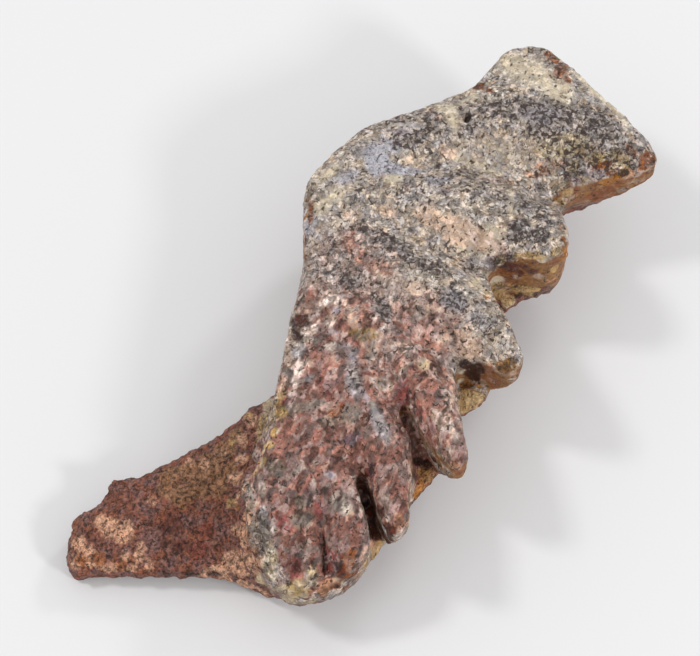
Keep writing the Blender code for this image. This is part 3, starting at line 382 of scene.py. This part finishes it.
# Lumps that cling to the plate: x, y, z, half sizes along x, y and z, turn in degrees.
LUMPS = [
    (-10.9, 1.2, 4.5, 0.6, 0.5, 0.8, 0), (-11.55, 0.95, 4.3, 0.6, 0.5, 0.8, 20),
    (-12.2, 0.6, 4.2, 0.6, 0.5, 0.75, 40), (-12.8, 0.15, 4, 0.6, 0.5, 0.8, 0),
    (-13.3, -0.2, 3.7, 0.55, 0.5, 0.8, 60), (-13.75, -0.6, 3.4, 0.5, 0.5, 0.7, 0),
    (-14.05, -1, 3, 0.45, 0.45, 0.6, 0), (-11.95, 0.5, 5.45, 0.32, 0.26, 0.3, 0),
    (-12.35, 0.32, 5.35, 0.24, 0.24, 0.25, 0), (-12.8, 0.05, 5.15, 0.3, 0.24, 0.28, 30),
    (-13.22, -0.28, 4.95, 0.26, 0.3, 0.28, 0), (-13.62, -0.62, 4.65, 0.32, 0.26, 0.28, 40),
    (-14.02, -1.15, 4.25, 0.28, 0.32, 0.3, 0), (-14.28, -1.72, 4.05, 0.26, 0.26, 0.26, 0),
    (-14.48, -2.35, 3.85, 0.28, 0.34, 0.28, 0), (-14.5, -3.05, 3.75, 0.24, 0.26, 0.26, 0),
    (-14.22, -3.62, 3.85, 0.3, 0.26, 0.3, 30), (-13.78, -4.25, 3.8, 0.28, 0.28, 0.28, 0),
    (-13.22, -4.78, 4.05, 0.3, 0.24, 0.3, 0), (-4.75, -4.3, 4.75, 0.9, 0.4, 0.7, 57),
    (-5.25, -5.1, 4.6, 0.75, 0.4, 0.55, 57), (6.45, -6.8, 7.1, 0.45, 0.32, 0.45, -60),
    (-1.55, -5.75, 4.6, 0.8, 0.4, 0.4, -60), (-1.15, -6.1, 4.7, 0.4, 0.35, 0.35, 0),
    (-7.05, -5.7, 4.5, 0.35, 0.3, 0.35, 0), (-7.35, -5.8, 4.2, 0.4, 0.3, 0.3, 0),
    (-7.7, 1.55, 5.7, 0.45, 0.4, 0.4, 20), (-8.25, 1.55, 5.5, 0.4, 0.38, 0.4, 50),
    (-8.85, 1.5, 5.3, 0.45, 0.4, 0.4, 0), (-9.3, 1.45, 5, 0.5, 0.45, 0.5, 0),
    (-8.7, 1.25, 5.8, 0.4, 0.4, 0.4, 0), (-8.5, 1.9, 4.3, 0.7, 0.7, 0.5, 0),
    (-10.2, 1.3, 4.2, 0.8, 0.6, 0.6, 0), (-7.5, 2.1, 4.6, 0.6, 0.6, 0.5, 0),
    (-7.35, 3.3, 3.8, 0.35, 0.3, 0.3, 0), (-13, 7.55, 2.05, 0.62, 0.38, 0.36, -62),
    (-17.2, 7.35, 0.95, 0.5, 0.35, 0.3, 30),
]
# Stains in the order they are laid, each over those before it.
STAIN_ORDER = (
    "blush", "rosy", "bone_olive", "bone_violet", "bone_red", "pale", "cream", "lilac", "blue",
    "peach", "terracotta", "red", "violet", "dusky", "ash", "tan", "maroon", "amber", "straw",
    "honey", "ochre", "rust", "orange", "chalk", "umber",
)
# How much noise frays a stain's edge, where it isn't 1.1.
FRAY = {
    "umber": 0.7, "maroon": 0.8, "blush": 0.5, "peach": 0.5, "terracotta": 0.8, "lilac": 0.8,
    "straw": 0.8, "blue": 0.7,
}
# How far a stain covers what is under it, where it isn't 0.95.
COVER = {
    "blush": 0.75, "lilac": 0.8, "straw": 0.85, "blue": 0.8, "violet": 0.6, "red": 0.75,
    "dusky": 0.75, "ash": 0.8, "pale": 0.8, "ochre": 0.7, "peach": 0.8, "honey": 0.8,
    "tan": 0.85, "terracotta": 0.85,
}


def length(name, description, default, low=0.0):
    return bpy.props.FloatProperty(
        name=name, description=description, default=default, min=low, unit="LENGTH",
        subtype="DISTANCE", precision=5)


def power(name, description, default):
    return bpy.props.FloatProperty(
        name=name, description=description, default=default, min=0.0, unit="POWER")


def colour(name, description, value):
    return bpy.props.FloatVectorProperty(
        name=name, description=description, subtype="COLOR", size=4, min=0.0, max=1.0,
        default=(*value, 1.0))


class FossilShape(bpy.types.PropertyGroup):
    """Sizes of the fine relief"""

    mesh_step: length("Mesh step", "Spacing of the fine mesh", 0.00013, low=0.0001)
    swell_height: length("Swell height", "Height of the broad unevenness", 0.00022)
    grain_height: length("Grain height", "Height of the dentine's grain", 0.00014)
    pore_depth: length("Bone pore depth", "Depth of the open pores of the bone", 0.00022)


class FossilColours(bpy.types.PropertyGroup):
    """Colours of the mineral stains"""

    dentine: colour("Dentine", "Ground of the crown", (0.605, 0.515, 0.425))
    beige: colour("Beige", "Warm beige dentine", (0.6, 0.46, 0.34))
    lilac: colour("Lilac grey", "Cool grey dentine", (0.46, 0.42, 0.425))
    rosy: colour("Rosy", "Pink-brown ground of the heel", (0.272, 0.125, 0.099))
    pale: colour("Pale", "Worn pale spots of the heel", (0.6, 0.45, 0.365))
    cream: colour("Cream", "Clean cream dentine", (0.72, 0.61, 0.455))
    blue: colour("Blue grey", "Blue-grey stain", (0.47, 0.47, 0.54))
    dusky: colour("Dusky", "Dark manganese stain", (0.3, 0.26, 0.25))
    peach: colour("Peach", "Peach stain", (0.84, 0.59, 0.44))
    # Terracotta is a real stain and, along the slot near x -5, y -4.5, also painted light on a
    # shaded flank.
    terracotta: colour("Terracotta", "Terracotta stain", (0.48, 0.255, 0.2))
    red: colour("Red", "Deep red iron stain", (0.26, 0.085, 0.08))
    rust: colour("Rust", "Rust stain", (0.26, 0.09, 0.035))
    violet: colour("Violet", "Violet stain", (0.21, 0.155, 0.2))
    ochre: colour("Ochre", "Ochre crumbs", (0.4, 0.27, 0.12))
    chalk: colour("Chalk", "Chalky crumbs", (0.9, 0.68, 0.57))
    # The hollow shade colour is painted shade, laid in pits, hollows, slots and pores and under
    # the blade's edge.
    umber: colour("Umber", "Dirt in hollows", (0.04, 0.014, 0.008))
    ash: colour("Ash", "Brown-grey stain", (0.215, 0.17, 0.136))
    straw: colour("Straw", "Yellowish cream stain", (0.6, 0.48, 0.32))
    blush: colour("Blush", "Pinkish worn dentine", (0.52, 0.37, 0.32))
    # Maroon is a real dark red-brown stain on the heel and also the painted shade down the heel's
    # slots.
    maroon: colour("Maroon", "Dark red-brown stain", (0.095, 0.028, 0.018))
    pepper: colour("Pepper", "Dark gaps between the grains", (0.045, 0.03, 0.026))
    salt: colour("Salt", "Light grains", (0.62, 0.55, 0.46))
    orange: colour("Orange", "Orange thin edges", (0.42, 0.17, 0.035))
    amber: colour("Amber", "Side walls of the crown", (0.3, 0.15, 0.052))
    honey: colour("Honey", "Yellowish crusts", (0.56, 0.37, 0.16))
    # Tan is also painted light on the bone along the crown's inner foot.
    tan: colour("Tan", "Pale tan bone", (0.62, 0.34, 0.215))
    bone: colour("Bone", "Jaw bone", (0.215, 0.074, 0.042))
    bone_red: colour("Red bone", "Dark red jaw bone", (0.19, 0.049, 0.03))
    bone_violet: colour("Violet bone", "Grey-violet jaw bone", (0.18, 0.087, 0.075))
    bone_olive: colour("Olive bone", "Weathered upper edge of the jaw bone", (0.265, 0.13, 0.066))


class StageSettings(bpy.types.PropertyGroup):
    """Floor and lights"""

    floor: colour("Floor", "Colour of the floor", (0.86, 0.86, 0.87))
    left_power: power("Left light", "Power of the light on the left", 0.135)
    back_power: power("Back light", "Power of the light behind", 0.09)
    front_power: power("Front light", "Power of the light in front", 0.16)
    surround: bpy.props.FloatProperty(
        name="Surround", description="Strength of the light from all round", default=0.64, min=0.0)


# ---- shape ----
def select_only(*pieces):
    bpy.ops.object.select_all(action="DESELECT")
    bpy.context.view_layer.objects.active = pieces[0]
    for piece in pieces:
        piece.select_set(True)


def merged_copy(node_name, name):
    """A copy of a solid node with its loose triangles merged into one skin."""
    piece = bpy.data.objects.new(name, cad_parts[node_name].data.copy())
    bpy.context.scene.collection.objects.link(piece)
    select_only(piece)
    bpy.ops.object.mode_set(mode="EDIT")
    bpy.ops.mesh.select_all(action="SELECT")
    bpy.ops.mesh.remove_doubles(threshold=0.000001)
    bpy.ops.object.mode_set(mode="OBJECT")
    return piece


def add_lump(x, y, z, half_x, half_y, half_z, turn):
    bpy.ops.mesh.primitive_ico_sphere_add(
        subdivisions=4, radius=1.0, location=(x * MM, y * MM, z * MM),
        rotation=(0.0, 0.0, math.radians(turn)), scale=(half_x * MM, half_y * MM, half_z * MM))
    bpy.ops.object.transform_apply()
    return bpy.context.object


def join_lumps(plate):
    select_only(plate, *[add_lump(*row) for row in LUMPS])
    bpy.ops.object.join()


def apply_all(piece):
    select_only(piece)
    for modifier in list(piece.modifiers):
        bpy.ops.object.modifier_apply(modifier=modifier.name)


def remesh(piece, step):
    skin = piece.modifiers.new("skin", "REMESH")
    skin.mode = "VOXEL"
    skin.voxel_size = step
    apply_all(piece)


def read_rows(piece, what):
    """The "co" or "normal" of every point, one row each."""
    flat = np.empty(len(piece.data.vertices) * 3)
    piece.data.vertices.foreach_get(what, flat)
    return flat.reshape(-1, 3)


def read_points(piece):
    return read_rows(piece, "co") / MM


def write_points(piece, points):
    piece.data.vertices.foreach_set("co", (points * MM).ravel())
    piece.data.update()


def distance_to_line(places, line):
    """Distance from each place to a line of points, in plan."""
    line = np.array(line, float)
    nearest = np.full(len(places), np.inf)
    for start, end in zip(line, line[1:]):
        run = end - start
        along = np.clip((places - start) @ run / (run @ run), 0.0, 1.0)
        gap = np.linalg.norm(places - start - along[:, None] * run, axis=1)
        nearest = np.minimum(nearest, gap)
    return nearest


def inwards_of(places, outline):
    """Distance of each place inside the closed outline, negative outside it."""
    closed = outline + outline[:1]
    x, y = places.T
    inside = np.zeros(len(places), bool)
    for (x0, y0), (x1, y1) in zip(closed, closed[1:]):
        if y0 != y1:
            inside ^= ((y0 > y) != (y1 > y)) & (x < (x1 - x0) * (y - y0) / (y1 - y0) + x0)
    gap = distance_to_line(places, closed)
    return np.where(inside, gap, -gap)


def ramp(values, low, high):
    """0 below low, 1 above high, smooth between them."""
    share = np.clip((values - low) / (high - low), 0.0, 1.0)
    return share * share * (3.0 - 2.0 * share)


def uneven(points, size, seed):
    """Smooth noise between about -1 and 1 at each point, with bumps of the given size in mm."""
    shift = Vector((seed * 7.3, seed * 3.1, seed * 5.7))
    return np.array([noise.noise(Vector(point) / size + shift) for point in points])


def carve(plate):
    """Sink the clefts and the pits into the upper face."""
    points = read_points(plate)
    facing_up = ramp(read_rows(plate, "normal")[:, 2], 0.0, 0.5)
    sink = np.zeros(len(points))
    for radius, depth, line in CLEFTS:
        gap = distance_to_line(points[:, :2], line)
        sink = np.maximum(sink, depth * np.exp(-((gap / radius) ** 2)))
    for x, y, radius, depth in PITS:
        gap = np.linalg.norm(points[:, :2] - (x, y), axis=1)
        sink = np.maximum(sink, depth * np.exp(-((gap / radius) ** 4)))
    points[:, 2] -= sink * facing_up * (points[:, 2] > UPPER_FACE)
    write_points(plate, points)


def weigh(piece, name, weights):
    group = piece.vertex_groups.new(name=name)
    for index, weight in enumerate(weights):
        if weight > 0.01:
            group.add((index,), float(weight), "REPLACE")


def rough_texture(name, kind, size):
    texture = bpy.data.textures.new(name, kind)
    texture.noise_scale = size * MM
    return texture


def displace(piece, texture, strength, group):
    push = piece.modifiers.new(texture.name, "DISPLACE")
    push.texture = texture
    push.texture_coords = "LOCAL"
    push.strength = strength
    push.vertex_group = group


def roughen(plate, shape):
    """Swells, grain and bone pores, all faded out on the flat that the plate rests on."""
    points = read_points(plate)
    above = ramp(points[:, 2], 0.05, 0.6)
    bone = bone_share(points)
    weigh(plate, "above", above)
    weigh(plate, "dentine", above * (1.0 - bone))
    weigh(plate, "bone", above * bone)
    grain = rough_texture("grain", "CLOUDS", 0.34)
    grain.noise_depth = 3
    displace(plate, rough_texture("swell", "CLOUDS", 1.3), shape.swell_height, "above")
    displace(plate, grain, shape.grain_height, "dentine")
    displace(plate, rough_texture("pores", "VORONOI", 0.42), shape.pore_depth, "bone")
    displace(plate, grain, shape.grain_height, "bone")
    apply_all(plate)
    plate.vertex_groups.clear()


def keep_off_floor(plate):
    """Hold every point at or above the floor."""
    points = read_points(plate)
    points[:, 2] = np.maximum(points[:, 2], 0.0)
    write_points(plate, points)


# ---- where each stain lies ----
def bone_share(points):
    """1 on the jaw bone, 0 on the crown's dentine."""
    beside = 1.0 - ramp(inwards_of(points[:, :2], CROWN_OUTLINE), -0.25, 0.05)
    foot = np.interp(points[:, 0], *zip(*CROWN_FOOT))
    below = 1.0 - ramp(points[:, 2] - foot, -0.3, 0.5)
    return np.maximum(beside * (points[:, 2] < BONE_TOP), below)


def within(reach, strength):
    """A stain's share at each place: half its strength at its edge, where reach is 1."""
    return strength * np.clip(1.5 - reach, 0.0, 1.0)


def stain_mask(places, rows):
    """Greatest strength of the oval stains at each place."""
    mask = np.zeros(len(places))
    for x, y, half_length, half_width, turn, strength in rows:
        angle = math.radians(turn)
        off = places - (x, y)
        along = off @ (math.cos(angle), math.sin(angle)) / half_length
        across = off @ (-math.sin(angle), math.cos(angle)) / half_width
        mask = np.maximum(mask, within(np.hypot(along, across), strength))
    return mask


def spot_mask(points, rows):
    """Greatest strength of the round spots at each point."""
    mask = np.zeros(len(points))
    for x, y, z, radius, strength in rows:
        reach = np.linalg.norm(points - (x, y, z), axis=1) / radius
        mask = np.maximum(mask, within(reach, strength))
    return mask


def write_mask(piece, name, values):
    layer = piece.data.attributes.new(name, "FLOAT", "POINT")
    layer.data.foreach_set("value", np.ascontiguousarray(values, np.float32))


def paint_masks(plate):
    """Write one mask for each stain, and those of the bone and the walls."""
    points = read_points(plate)
    normals = read_rows(plate, "normal")
    warp = np.column_stack([uneven(points, 0.9, seed) for seed in (1.0, 2.0, 3.0)])
    warped = points + 0.12 * warp
    facing_up = ramp(normals[:, 2], 0.1, 0.45)
    for name in STAIN_ORDER:
        mask = stain_mask(warped[:, :2], STAINS.get(name, ())) * facing_up
        write_mask(plate, name, np.maximum(mask, spot_mask(warped, SPOTS.get(name, ()))))
    bone = bone_share(points + 0.15 * warp)
    write_mask(plate, "bone", bone)
    wall = 1.0 - ramp(normals[:, 2] + 0.12 * warp[:, 0], 0.05, 0.45)
    # The wall opposite the ridges shows its amber in patches only.
    patches = ramp(uneven(points, 1.6, 7.0) + 0.6 * warp[:, 1], -0.5, 0.5)
    wall *= 1.0 - 0.9 * ramp(normals[:, 1], 0.1, 0.5) * patches
    write_mask(plate, "wall", wall * (1.0 - bone) * ramp(points[:, 0], -11.5, -8.0))


# ---- material ----
def new_group(name, inputs, outputs):
    """An empty node group with its sockets, given as name and kind or name, kind and default."""
    tree = bpy.data.node_groups.new(name, "ShaderNodeTree")
    for label, kind, *default in inputs:
        socket = tree.interface.new_socket(label, in_out="INPUT", socket_type="NodeSocket" + kind)
        if default:
            socket.default_value = default[0]
    for label, kind in outputs:
        tree.interface.new_socket(label, in_out="OUTPUT", socket_type="NodeSocket" + kind)
    return tree, tree.nodes.new("NodeGroupInput").outputs, tree.nodes.new("NodeGroupOutput").inputs


def feed(socket, value):
    """Link an output into a socket, or set the socket to a plain value."""
    if isinstance(value, bpy.types.NodeSocket):
        socket.id_data.links.new(value, socket)
    else:
        socket.default_value = value


def add_node(kind, values, **settings):
    """A node fed by input name or number, in the tree that the sockets among the values are in."""
    tree = next(value.id_data for value in values.values()
                if isinstance(value, bpy.types.NodeSocket))
    node = tree.nodes.new("ShaderNode" + kind)
    for name, setting in settings.items():
        setattr(node, name, setting)
    for label, value in values.items():
        feed(node.inputs[label], value)
    return node


def calc(operation, *values):
    return add_node("Math", dict(enumerate(values)), operation=operation).outputs[0]


plus, less, times, least, most = (
    partial(calc, operation)
    for operation in ("ADD", "SUBTRACT", "MULTIPLY", "MINIMUM", "MAXIMUM"))


def weighed(start, *pairs):
    """A number plus each mask times its weight."""
    for mask, weight in pairs:
        start = plus(start, times(mask, weight))
    return start


def centred(value, reach):
    """The value less a half, times reach."""
    return times(less(value, 0.5), reach)


def remap(value, low, high, to_low=0.0, to_high=1.0):
    """A value's smooth way from low to high, as one from to_low to to_high."""
    values = dict(enumerate((value, low, high, to_low, to_high)))
    return add_node("MapRange", values, interpolation_type="SMOOTHSTEP").outputs[0]


def mix_of(kind, number, share, under, over):
    """Over laid on under; the kind's sockets come by its number, after two for the share."""
    values = {0: share, 2 * number + 2: under, 2 * number + 3: over}
    return add_node("Mix", values, data_type=kind).outputs[number]


blend = partial(mix_of, "FLOAT", 0)
between = partial(mix_of, "VECTOR", 1)
mix = partial(mix_of, "RGBA", 2)


def noise_at(place, scale, detail, roughness, distortion=0.0):
    return add_node("TexNoise", {
        "Vector": place, "Scale": scale, "Detail": detail, "Roughness": roughness,
        "Distortion": distortion}).outputs["Color"]


def cells_at(place, scale, feature="F1"):
    return add_node("TexVoronoi", {"Vector": place, "Scale": scale}, feature=feature)


def stretched(place, scale, turn=0.0):
    return add_node("Mapping", {
        "Vector": place, "Scale": scale, "Rotation": (0.0, 0.0, math.radians(turn))}).outputs[0]


def channels(colour_socket):
    return add_node("SeparateColor", {0: colour_socket}).outputs


def on_vectors(operation, values):
    return add_node("VectorMath", values, operation=operation).outputs[0]


def brighten(colour_socket, factor):
    return on_vectors("SCALE", {0: colour_socket, "Scale": factor})


def warped_place(place, scale, reach):
    """The place pushed about by noise."""
    off = on_vectors("SUBTRACT", {0: noise_at(place, scale, 2.0, 0.5), 1: (0.5, 0.5, 0.5)})
    return on_vectors("ADD", {0: place, 1: brighten(off, reach)})


def stain_group():
    """Lays a stain over a colour, its edge broken up by noise."""
    tree, given, result = new_group(
        "Stain",
        [("Under", "Color"), ("Stain", "Color"), ("Mask", "Float"), ("Noise", "Float", 0.5),
         ("Breakup", "Float", 1.1), ("Softness", "Float", 0.22), ("Opacity", "Float", 0.92)],
        [("Colour", "Color")])
    level = plus(plus(given["Mask"], -0.5), centred(given["Noise"], given["Breakup"]))
    share = remap(level, times(given["Softness"], -1.0), given["Softness"])
    share = times(times(share, remap(given["Mask"], 0.02, 0.15)), given["Opacity"])
    feed(result["Colour"], mix(share, given["Under"], given["Stain"]))
    return tree


def crystal_group():
    """Blotches like grown-together crystals, each lighter or darker, greyer or richer."""
    tree, given, result = new_group(
        "Crystal Blotches",
        [("Place", "Vector"), ("Colour", "Color"), ("Pale", "Color"), ("Amount", "Float", 1.0),
         ("Scale", "Float", 3.2), ("Rims", "Float", 0.4), ("Reach", "Float", 1.3)],
        [("Colour", "Color"), ("Height", "Float")])
    place = warped_place(warped_place(given["Place"], 2.2, 0.7), 5.0, 0.12)
    cells = cells_at(place, given["Scale"], "SMOOTH_F1")
    cells.inputs["Smoothness"].default_value = 0.8
    own = channels(cells.outputs["Color"])
    other = add_node("HueSaturation", {
        "Saturation": remap(own[1], 0.35, 0.65, 1.12, 0.7), "Color": given["Colour"]})
    body = mix(given["Amount"], given["Colour"], other.outputs[0])
    pale = times(remap(own[2], 0.6, 0.78, 0.0, 0.3), given["Amount"])
    level = times(centred(own[0], given["Reach"]), given["Amount"])
    body = brighten(mix(pale, body, given["Pale"]), plus(level, 1.0))
    edge = cells_at(place, given["Scale"], "DISTANCE_TO_EDGE").outputs["Distance"]
    rim = times(times(remap(edge, 0.0, 0.11, 1.0, 0.0), given["Rims"]), given["Amount"])
    feed(result["Colour"], brighten(body, less(1.03, rim)))
    feed(result["Height"], less(times(own[0], 0.4), rim))
    return tree


def grain_group():
    """Fine worn grain: soft light and dark, broken dark lines, pits and light specks."""
    tree, given, result = new_group(
        "Worn Grain",
        [("Place", "Vector"), ("Colour", "Color"), ("Dark", "Color"), ("Light", "Color"),
         ("Contrast", "Float", 1.0), ("Lines", "Float", 0.6), ("Pits", "Float", 0.6),
         ("Specks", "Float", 0.5), ("Scale", "Float", 4.4), ("Glow", "Float", 0.5)],
        [("Colour", "Color"), ("Height", "Float")])
    fine = channels(noise_at(given["Place"], given["Scale"], 3.0, 0.65, 0.5))
    wide = channels(noise_at(given["Place"], times(given["Scale"], 0.62), 2.0, 0.6, 0.8))
    level = times(centred(fine[1], 3.3), given["Contrast"])
    level = least(level, times(level, given["Glow"]))
    body = brighten(given["Colour"], least(most(plus(level, 1.0), 0.25), 1.6))
    near = calc("ABSOLUTE", less(wide[0], 0.5))
    line = times(remap(near, 0.01, 0.05, 1.0, 0.0), remap(wide[1], 0.4, 0.52))
    pit = remap(less(fine[0], times(given["Pits"], 0.09)), 0.385, 0.31)
    dark = most(times(line, given["Lines"]), times(pit, 0.9))
    speck = times(remap(fine[2], 0.6, 0.7), given["Specks"])
    feed(result["Colour"], mix(dark, mix(speck, body, given["Light"]), given["Dark"]))
    height = plus(times(speck, 0.35), centred(fine[1], 1.2))
    feed(result["Height"], less(height, times(dark, 0.7)))
    return tree


def pore_group():
    """Small stretched pores, their centres set out by cells."""
    tree, given, result = new_group(
        "Dentine Pores",
        [("Place", "Vector"), ("Colour", "Color"), ("Dark", "Color"), ("Amount", "Float", 1.0),
         ("Scale", "Float", 2.3), ("Size", "Float", 0.22)],
        [("Colour", "Color"), ("Height", "Float")])
    cells = cells_at(stretched(given["Place"], (0.75, 1.2, 1.0), 25.0), given["Scale"])
    pore = remap(cells.outputs["Distance"], given["Size"], times(given["Size"], 0.5))
    pore = times(pore, given["Amount"])
    feed(result["Colour"], mix(pore, given["Colour"], given["Dark"]))
    feed(result["Height"], pore)
    return tree


def use_group(group, **values):
    return add_node("Group", values, node_tree=group).outputs


def setting_names(group):
    """Names of the settings in a property group."""
    return [name for name in group.bl_rna.properties.keys() if name not in ("rna_type", "name")]


def fossil_material(colours):
    material = bpy.data.materials.new("fossil_dentine_and_bone")
    material.use_nodes = True
    tree = material.node_tree
    tree.nodes.clear()
    tint = {name: tuple(getattr(colours, name)) for name in setting_names(colours)}
    stain, crystals, grain, pores = stain_group(), crystal_group(), grain_group(), pore_group()
    masks = {}
    for name in (*STAIN_ORDER, "bone", "wall"):
        node = tree.nodes.new("ShaderNodeAttribute")
        node.attribute_name = name
        masks[name] = node.outputs["Fac"]
    bone, wall, dusky = masks["bone"], masks["wall"], masks["dusky"]
    cream, peach = masks["cream"], masks["peach"]
    own_place = tree.nodes.new("ShaderNodeTexCoord").outputs["Object"]
    place = stretched(own_place, (1.0 / MM, 1.0 / MM, 1.0 / MM))
    edges = [edge for scale, roughness in ((2.2, 0.72), (3.1, 0.72), (1.4, 0.75))
             for edge in channels(noise_at(place, scale, 5.0, roughness, 0.2))]
    open_pores, gloss, *broad = edges[3], edges[5], *edges[6:]

    # Ground colours, then each stain in turn.
    crown = mix(remap(broad[0], 0.42, 0.62), tint["dentine"], tint["beige"])
    crown = mix(remap(broad[1], 0.45, 0.62, 0.0, 0.8), crown, tint["lilac"])
    side = mix(remap(broad[2], 0.4, 0.62), tint["amber"], tint["rust"])
    ground = mix(remap(broad[1], 0.42, 0.6), tint["bone"], tint["bone_violet"])
    body = mix(bone, mix(wall, crown, side), ground)
    for index, name in enumerate(STAIN_ORDER):
        body = use_group(
            stain, Under=body, Stain=tint[name], Mask=masks[name], Noise=edges[index % 9],
            Opacity=COVER.get(name, 0.95), Breakup=FRAY.get(name, 1.1))["Colour"]

    # Blotches, stretched along the ridges on the heel and with rims elsewhere.
    calm = most(most(bone, wall), masks["blue"])
    calm = most(calm, times(most(cream, peach), 0.7))
    heel = remap(masks["rosy"], 0.35, 0.65)
    along_ridges = stretched(place, (0.62, 1.0, 0.8), -28.0)
    blotched = use_group(
        crystals, Place=between(calc("GREATER_THAN", heel, 0.5), place, along_ridges),
        Colour=body, Pale=tint["pale"], Amount=less(0.9, times(calm, 0.75)), Scale=3.6,
        Rims=blend(heel, 0.5, 0.0), Reach=blend(heel, 1.3, 1.7))
    # The pores are darkened with the painted hollow shade colour.
    porous = use_group(
        pores, Place=place, Colour=blotched["Colour"], Dark=tint["umber"], Scale=2.3, Size=0.24,
        Amount=times(remap(cream, 0.25, 0.5, 0.0, 0.85), remap(open_pores, 0.38, 0.5)))

    # Fine grain, strongest on the bone and weakest where the surface is clean.
    few = weighed(0.7, (cream, -0.6), (wall, -0.35), (heel, -0.25))
    strong = weighed(0.85, (dusky, 0.5), (cream, -0.45), (heel, -0.1), (peach, -0.3))
    crust = most(masks["honey"], masks["straw"])
    strong = weighed(blend(bone, strong, blend(crust, 1.6, 0.5)), (wall, -0.25))
    worn = use_group(
        grain, Place=place, Colour=porous["Colour"], Dark=tint["pepper"],
        Light=mix(bone, tint["salt"], tint["tan"]), Contrast=strong,
        Lines=times(few, blend(heel, 0.6, 0.1)), Pits=blend(bone, plus(few, dusky), 0.3),
        Specks=blend(bone, 0.2, 0.3), Scale=blend(bone, 4.2, 5.2),
        Glow=blend(most(bone, heel), 0.5, 1.0))

    height = weighed(worn["Height"], (blotched["Height"], 0.6), (porous["Height"], -0.6))
    bump = add_node("Bump", {"Distance": 0.00006, "Strength": 0.7, "Height": height})
    shader = add_node("BsdfPrincipled", {
        "Specular IOR Level": 0.2, "Base Color": worn["Colour"], "Normal": bump.outputs["Normal"],
        "Roughness": remap(gloss, 0.35, 0.65, 0.38, 0.7)})
    add_node("OutputMaterial", {"Surface": shader.outputs[0]})
    return material


# ---- operators ----
class FOSSIL_OT_tooth_plate(bpy.types.Operator):
    """Make the fossil tooth plate with its fine relief and its stains"""

    bl_idname = "fossil.tooth_plate"
    bl_label = "Fossil Tooth Plate"

    def execute(self, context):
        shape = context.scene.fossil_shape
        plate = merged_copy("tooth_plate", "tooth_plate_fossil")
        join_lumps(plate)
        remesh(plate, shape.mesh_step)
        carve(plate)
        roughen(plate, shape)
        keep_off_floor(plate)
        paint_masks(plate)
        plate.data.materials.clear()
        plate.data.materials.append(fossil_material(context.scene.fossil_colours))
        select_only(plate)
        bpy.ops.object.shade_smooth()
        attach(plate, "root")
        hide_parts("tooth_plate")
        return {"FINISHED"}


def plain_material(name, value):
    material = bpy.data.materials.new(name)
    material.use_nodes = True
    shader = material.node_tree.nodes["Principled BSDF"]
    shader.inputs["Base Color"].default_value = value
    shader.inputs["Roughness"].default_value = 0.8
    return material


def add_area_light(name, direction, strength):
    direction = Vector(direction).normalized()
    data = bpy.data.lights.new(name, "AREA")
    data.size = LIGHT_SIZE
    data.energy = strength
    lamp = bpy.data.objects.new(name, data)
    lamp.location = direction * LIGHT_DISTANCE
    lamp.rotation_euler = direction.to_track_quat("Z", "Y").to_euler()
    bpy.context.scene.collection.objects.link(lamp)


def add_surround(strength):
    """Even white light from all round."""
    world = bpy.data.worlds.new("surround")
    world.use_nodes = True
    sky = world.node_tree.nodes["Background"]
    sky.inputs["Color"].default_value = (1.0, 1.0, 1.0, 1.0)
    sky.inputs["Strength"].default_value = strength
    bpy.context.scene.world = world


def add_camera(place, ahead, up):
    """A camera at a place in millimetres, looking ahead."""
    data = bpy.data.cameras.new("camera")
    data.lens = 100.0
    data.sensor_width = 36.0
    data.clip_start = 0.001
    camera = bpy.data.objects.new("camera", data)
    ahead = Vector(ahead).normalized()
    right = ahead.cross(Vector(up)).normalized()
    turn = Matrix((right, right.cross(ahead), -ahead)).transposed()
    camera.matrix_world = Matrix.LocRotScale(Vector(place) * MM, turn.to_quaternion(), None)
    bpy.context.scene.collection.objects.link(camera)
    bpy.context.scene.camera = camera


class FOSSIL_OT_stage(bpy.types.Operator):
    """Make the pale floor, the soft lights and the camera"""

    bl_idname = "fossil.stage"
    bl_label = "Fossil Stage"

    def execute(self, context):
        settings = context.scene.fossil_stage
        bpy.ops.object.select_all(action="DESELECT")
        bpy.ops.mesh.primitive_plane_add(size=1.0)
        floor = context.object
        floor.name = "floor"
        floor.data.materials.append(plain_material("floor_pale", settings.floor))
        add_area_light("light_left", (-0.2, 0.57, 0.8), settings.left_power)
        add_area_light("light_back", (0.81, -0.17, 0.56), settings.back_power)
        add_area_light("light_front", (-0.155, -0.82, 0.545), settings.front_power)
        add_surround(settings.surround)
        context.scene.view_settings.view_transform = "Standard"
        add_camera((-43.99, -21.8, 89.2), (0.4415, 0.2347, -0.866), (0.7647, 0.4066, 0.5))
        return {"FINISHED"}


class FOSSIL_PT_panel(bpy.types.Panel):
    """Sidebar panel with the buttons and settings"""

    bl_idname = "FOSSIL_PT_panel"
    bl_label = "Fossil Tooth Plate"
    bl_space_type = "VIEW_3D"
    bl_region_type = "UI"
    bl_category = "Fossil"

    def draw(self, context):
        scene = context.scene
        for operator, groups in (
                (FOSSIL_OT_tooth_plate, (scene.fossil_shape, scene.fossil_colours)),
                (FOSSIL_OT_stage, (scene.fossil_stage,))):
            box = self.layout.box()
            box.operator(operator.bl_idname)
            for group in groups:
                for name in setting_names(group):
                    box.prop(group, name)


SETTINGS = {
    "fossil_shape": FossilShape, "fossil_colours": FossilColours, "fossil_stage": StageSettings,
}
CLASSES = (*SETTINGS.values(), FOSSIL_OT_tooth_plate, FOSSIL_OT_stage, FOSSIL_PT_panel)


def register():
    for entry in CLASSES:
        bpy.utils.register_class(entry)
    for name, kind in SETTINGS.items():
        setattr(bpy.types.Scene, name, bpy.props.PointerProperty(type=kind))


def unregister():
    for name in SETTINGS:
        delattr(bpy.types.Scene, name)
    for entry in reversed(CLASSES):
        bpy.utils.unregister_class(entry)


def main():
    register()
    bpy.ops.fossil.stage()
    bpy.ops.fossil.tooth_plate()


if __name__ == "__main__":
    main()
